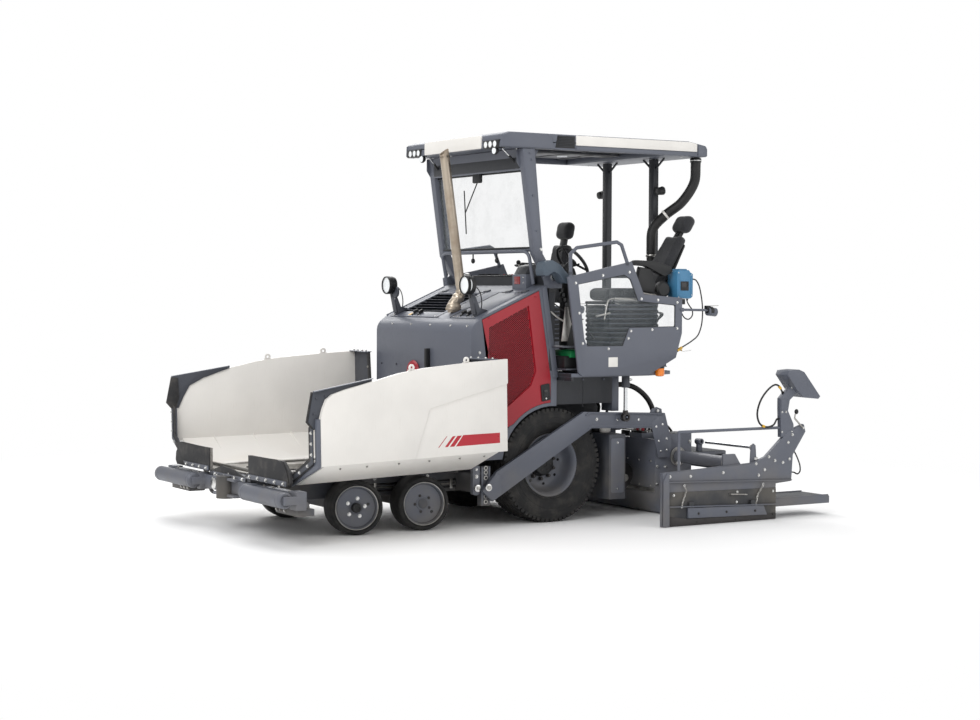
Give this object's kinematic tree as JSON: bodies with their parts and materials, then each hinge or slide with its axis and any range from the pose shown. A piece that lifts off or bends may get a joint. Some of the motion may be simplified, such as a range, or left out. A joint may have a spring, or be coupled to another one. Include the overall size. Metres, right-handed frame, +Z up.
{
  "type": "wheeled asphalt paver",
  "caption": "Compact wheeled asphalt paver with an open tipping hopper, steered small front wheels, big rear drive wheels, roofed operator platform and extending screed.",
  "frame": {"origin": "on the ground under the middle of the whole machine's box, on its centre plane", "axes": "+X to the machine's left, +Y to its rear (the screed), +Z up; it drives towards -Y"},
  "size_m": [3.62, 5.76, 3.64],
  "materials": {
    "grey_paint": "blue-grey semi-gloss paint",
    "dark_paint": "near-black semi-gloss paint",
    "white_paint": "warm white gloss paint",
    "red_paint": "crimson gloss paint",
    "worn_steel": "bare worn steel",
    "dark_iron": "dark castings",
    "heated_steel": "bronze heat-tinted steel",
    "chrome_rod": "polished",
    "tyre": "matt black tread rubber",
    "solid_rubber": "matt black solid rubber on grey disc",
    "black_plastic": "matt black",
    "blue_plastic": "satin blue",
    "seat_cover": "black vinyl",
    "clear_glass": "clear pane"
  },
  "bodies": {
    "tractor": {"chassis": "grey_paint", "hopper_floor": "worn_steel", "push_beam": "grey_paint", "engine": "dark_iron", "hood": "grey_paint", "exhaust": "heated_steel", "platform": "grey_paint", "cowl": "dark_paint", "side_panel_left": "grey_paint", "side_panel_right": "grey_paint", "side_window_left": "clear_glass", "side_window_right": "clear_glass", "seat_cushion_left": "seat_cover", "seat_cushion_right": "seat_cover", "seat_back_left": "seat_cover", "seat_back_right": "seat_cover", "roof_frame": "dark_paint", "rear_posts": "dark_paint", "windshield": "clear_glass", "roof": "white_paint", "extraction_hose": "black_plastic", "control_box": "blue_plastic", "rear_body": "dark_paint", "control_cable": "black_plastic", "box_cable": "black_plastic", "screed_hose": "black_plastic"},
    "wing_left": {"hopper_wing_left": "white_paint"},
    "wing_right": {"hopper_wing_right": "white_paint"},
    "roller_left": {"push_roller_left": "grey_paint"},
    "roller_right": {"push_roller_right": "grey_paint"},
    "knuckle_left_1": {"knuckle_left_1": "dark_paint"},
    "knuckle_left_2": {"knuckle_left_2": "dark_paint"},
    "knuckle_right_1": {"knuckle_right_1": "dark_paint"},
    "knuckle_right_2": {"knuckle_right_2": "dark_paint"},
    "front_wheel_left_1": {"front_wheel_left_1": "solid_rubber"},
    "front_wheel_left_2": {"front_wheel_left_2": "solid_rubber"},
    "front_wheel_right_1": {"front_wheel_right_1": "solid_rubber"},
    "front_wheel_right_2": {"front_wheel_right_2": "solid_rubber"},
    "rear_wheel_left": {"rear_tyre_left": "tyre", "rear_rim_left": "grey_paint"},
    "rear_wheel_right": {"rear_tyre_right": "tyre", "rear_rim_right": "grey_paint"},
    "door_left": {"service_door_left": "red_paint"},
    "door_right": {"service_door_right": "red_paint"},
    "hatch_left": {"hatch_left": "grey_paint"},
    "hatch_right": {"hatch_right": "grey_paint"},
    "steering_wheel": {"steering_wheel": "black_plastic"},
    "auger_left": {"auger_left": "worn_steel"},
    "auger_right": {"auger_right": "worn_steel"},
    "lift_barrel_left": {"lift_barrel_left": "dark_paint"},
    "lift_barrel_right": {"lift_barrel_right": "dark_paint"},
    "lift_rod_left": {"lift_rod_left": "chrome_rod"},
    "lift_rod_right": {"lift_rod_right": "chrome_rod"},
    "screed": {"tow_arm_left": "grey_paint", "tow_arm_right": "grey_paint", "screed_main": "grey_paint"},
    "extension_left": {"extension_left": "grey_paint", "console_cable": "black_plastic", "gate_cable": "black_plastic"},
    "extension_right": {"extension_right": "grey_paint"}
  },
  "joints": [
    {"name": "wing_left_tip", "type": "hinge", "parent": "tractor", "child": "wing_left", "pos_m": [0.6, -0.69, 0.56], "axis": [0.0993, -0.9949, -0.0201], "range_deg": [0, 21]},
    {"name": "wing_right_tip", "type": "hinge", "parent": "tractor", "child": "wing_right", "pos_m": [-0.6, -0.69, 0.56], "axis": [0.0993, 0.9949, 0.0201], "range_deg": [0, 21]},
    {"name": "roller_left_spin", "type": "hinge", "parent": "tractor", "child": "roller_left", "pos_m": [0.97, -2.81, 0.41], "axis": [1, 0, 0], "continuous": true},
    {"name": "roller_right_spin", "type": "hinge", "parent": "tractor", "child": "roller_right", "pos_m": [-0.97, -2.81, 0.41], "axis": [1, 0, 0], "continuous": true},
    {"name": "steer_left_1", "type": "hinge", "parent": "tractor", "child": "knuckle_left_1", "pos_m": [0.66, -1.825, 0.2445], "axis": [0, 0, 1], "range_deg": [-7.5, 32.5]},
    {"name": "steer_left_2", "type": "hinge", "parent": "tractor", "child": "knuckle_left_2", "pos_m": [0.66, -1.159, 0.2445], "axis": [0, 0, 1], "range_deg": [-5, 21.6]},
    {"name": "steer_right_1", "type": "hinge", "parent": "tractor", "child": "knuckle_right_1", "pos_m": [-0.66, -1.825, 0.2445], "axis": [0, 0, 1], "range_deg": [-7.6, 32.6]},
    {"name": "steer_right_2", "type": "hinge", "parent": "tractor", "child": "knuckle_right_2", "pos_m": [-0.66, -1.159, 0.2445], "axis": [0, 0, 1], "range_deg": [-5, 21.6]},
    {"name": "front_wheel_left_1_spin", "type": "hinge", "parent": "knuckle_left_1", "child": "front_wheel_left_1", "pos_m": [0.66, -1.825, 0.2445], "axis": [0.9763, -0.2164, 0], "continuous": true},
    {"name": "front_wheel_left_2_spin", "type": "hinge", "parent": "knuckle_left_2", "child": "front_wheel_left_2", "pos_m": [0.66, -1.159, 0.2445], "axis": [0.9895, -0.1444, 0], "continuous": true},
    {"name": "front_wheel_right_1_spin", "type": "hinge", "parent": "knuckle_right_1", "child": "front_wheel_right_1", "pos_m": [-0.66, -1.825, 0.2445], "axis": [0.9763, -0.2164, 0], "continuous": true},
    {"name": "front_wheel_right_2_spin", "type": "hinge", "parent": "knuckle_right_2", "child": "front_wheel_right_2", "pos_m": [-0.66, -1.159, 0.2445], "axis": [0.9895, -0.1444, 0], "continuous": true},
    {"name": "rear_wheel_left_spin", "type": "hinge", "parent": "tractor", "child": "rear_wheel_left", "pos_m": [0.73, 0.16, 0.536], "axis": [1, 0, 0], "continuous": true},
    {"name": "rear_wheel_right_spin", "type": "hinge", "parent": "tractor", "child": "rear_wheel_right", "pos_m": [-0.73, 0.16, 0.536], "axis": [1, 0, 0], "continuous": true},
    {"name": "door_left_hinge", "type": "hinge", "parent": "tractor", "child": "door_left", "pos_m": [0.9145, -0.503, 1.392], "axis": [0, 0.2201, -0.9755], "range_deg": [0, 80]},
    {"name": "door_right_hinge", "type": "hinge", "parent": "tractor", "child": "door_right", "pos_m": [-0.9145, -0.503, 1.392], "axis": [0, -0.2201, 0.9755], "range_deg": [0, 80]},
    {"name": "hatch_left_hinge", "type": "hinge", "parent": "tractor", "child": "hatch_left", "pos_m": [0.585, -0.09, 2.14885], "axis": [-1, 0, 0], "range_deg": [0, 40]},
    {"name": "hatch_right_hinge", "type": "hinge", "parent": "tractor", "child": "hatch_right", "pos_m": [-0.349, -0.09, 2.14885], "axis": [-1, 0, 0], "range_deg": [0, 40]},
    {"name": "steering_wheel_turn", "type": "hinge", "parent": "tractor", "child": "steering_wheel", "pos_m": [0.7, 0.505, 2.425], "axis": [0, 0.7875, 0.6163], "range_deg": [-135.5, 586]},
    {"name": "auger_left_spin", "type": "hinge", "parent": "tractor", "child": "auger_left", "pos_m": [0.37, 1.16, 0.35], "axis": [1, 0, 0], "continuous": true},
    {"name": "auger_right_spin", "type": "hinge", "parent": "tractor", "child": "auger_right", "pos_m": [-0.37, 1.16, 0.35], "axis": [1, 0, 0], "continuous": true},
    {"name": "screed_lift", "type": "hinge", "parent": "tractor", "child": "screed", "pos_m": [0, -0.58, 0.37], "axis": [1, 0, 0], "range_deg": [0, 9], "deforming": ["screed_hose"]},
    {"name": "lift_barrel_left_swing", "type": "hinge", "parent": "tractor", "child": "lift_barrel_left", "pos_m": [1.03, 0.91, 1.62], "axis": [-1, 0, 0], "range_deg": [0, 13.6]},
    {"name": "lift_barrel_right_swing", "type": "hinge", "parent": "tractor", "child": "lift_barrel_right", "pos_m": [-1.03, 0.91, 1.62], "axis": [-1, 0, 0], "range_deg": [0, 13.6]},
    {"name": "lift_rod_left_slide", "type": "slide", "parent": "lift_barrel_left", "child": "lift_rod_left", "axis": [0, 0, 1], "range_m": [0, 0.218]},
    {"name": "lift_rod_right_slide", "type": "slide", "parent": "lift_barrel_right", "child": "lift_rod_right", "axis": [0, 0, 1], "range_m": [0, 0.218]},
    {"name": "extension_left_slide", "type": "slide", "parent": "screed", "child": "extension_left", "axis": [-1, 0, 0], "range_m": [0, 0.74]},
    {"name": "extension_right_slide", "type": "slide", "parent": "screed", "child": "extension_right", "axis": [1, 0, 0], "range_m": [0, 0.74]}
  ],
  "couplings": [
    {"joint": "steer_left_2", "follows": "steer_left_1", "ratio": 0.664},
    {"joint": "steer_right_1", "follows": "steer_left_1", "ratio": 1},
    {"joint": "steer_right_2", "follows": "steer_left_1", "ratio": 0.664},
    {"joint": "steering_wheel_turn", "follows": "steer_left_1", "ratio": 18},
    {"joint": "lift_barrel_left_swing", "follows": "screed_lift", "ratio": 1.5},
    {"joint": "lift_barrel_right_swing", "follows": "screed_lift", "ratio": 1.5},
    {"joint": "lift_rod_left_slide", "follows": "screed_lift", "m_per_rad": 1.38},
    {"joint": "lift_rod_right_slide", "follows": "screed_lift", "m_per_rad": 1.38}
  ]
}
